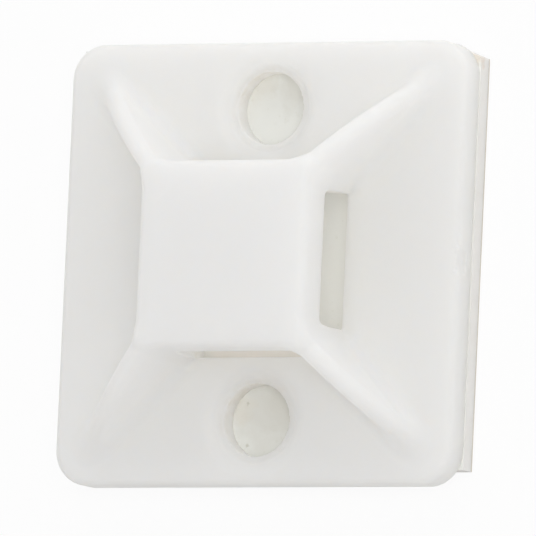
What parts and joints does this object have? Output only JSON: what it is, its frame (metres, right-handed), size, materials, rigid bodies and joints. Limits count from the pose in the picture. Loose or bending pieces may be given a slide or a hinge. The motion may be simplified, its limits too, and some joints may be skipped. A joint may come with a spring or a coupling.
{
  "type": "cable tie mount",
  "caption": "Square adhesive-backed nylon base whose raised bridge, carried on diagonal ridges, lets a cable tie pass under it either way; screw holes beside it.",
  "frame": {"origin": "centre of the square base, on the underside of the release liner", "axes": "+Z out of the surface the part is stuck to, towards the bridge; +Y along the line of the two screw holes; +X towards the side with the gate scar"},
  "size_m": [0.02, 0.02, 0.0061],
  "materials": {
    "nylon": "natural white nylon 6/6, as moulded, fine satin texture",
    "foam_tape": "white closed-cell foam tape, die-cut edges",
    "liner": "thin coated paper release liner"
  },
  "bodies": {
    "root": {"mount_body": "nylon", "foam_pad": "foam_tape", "release_liner": "liner"}
  },
  "joints": []
}
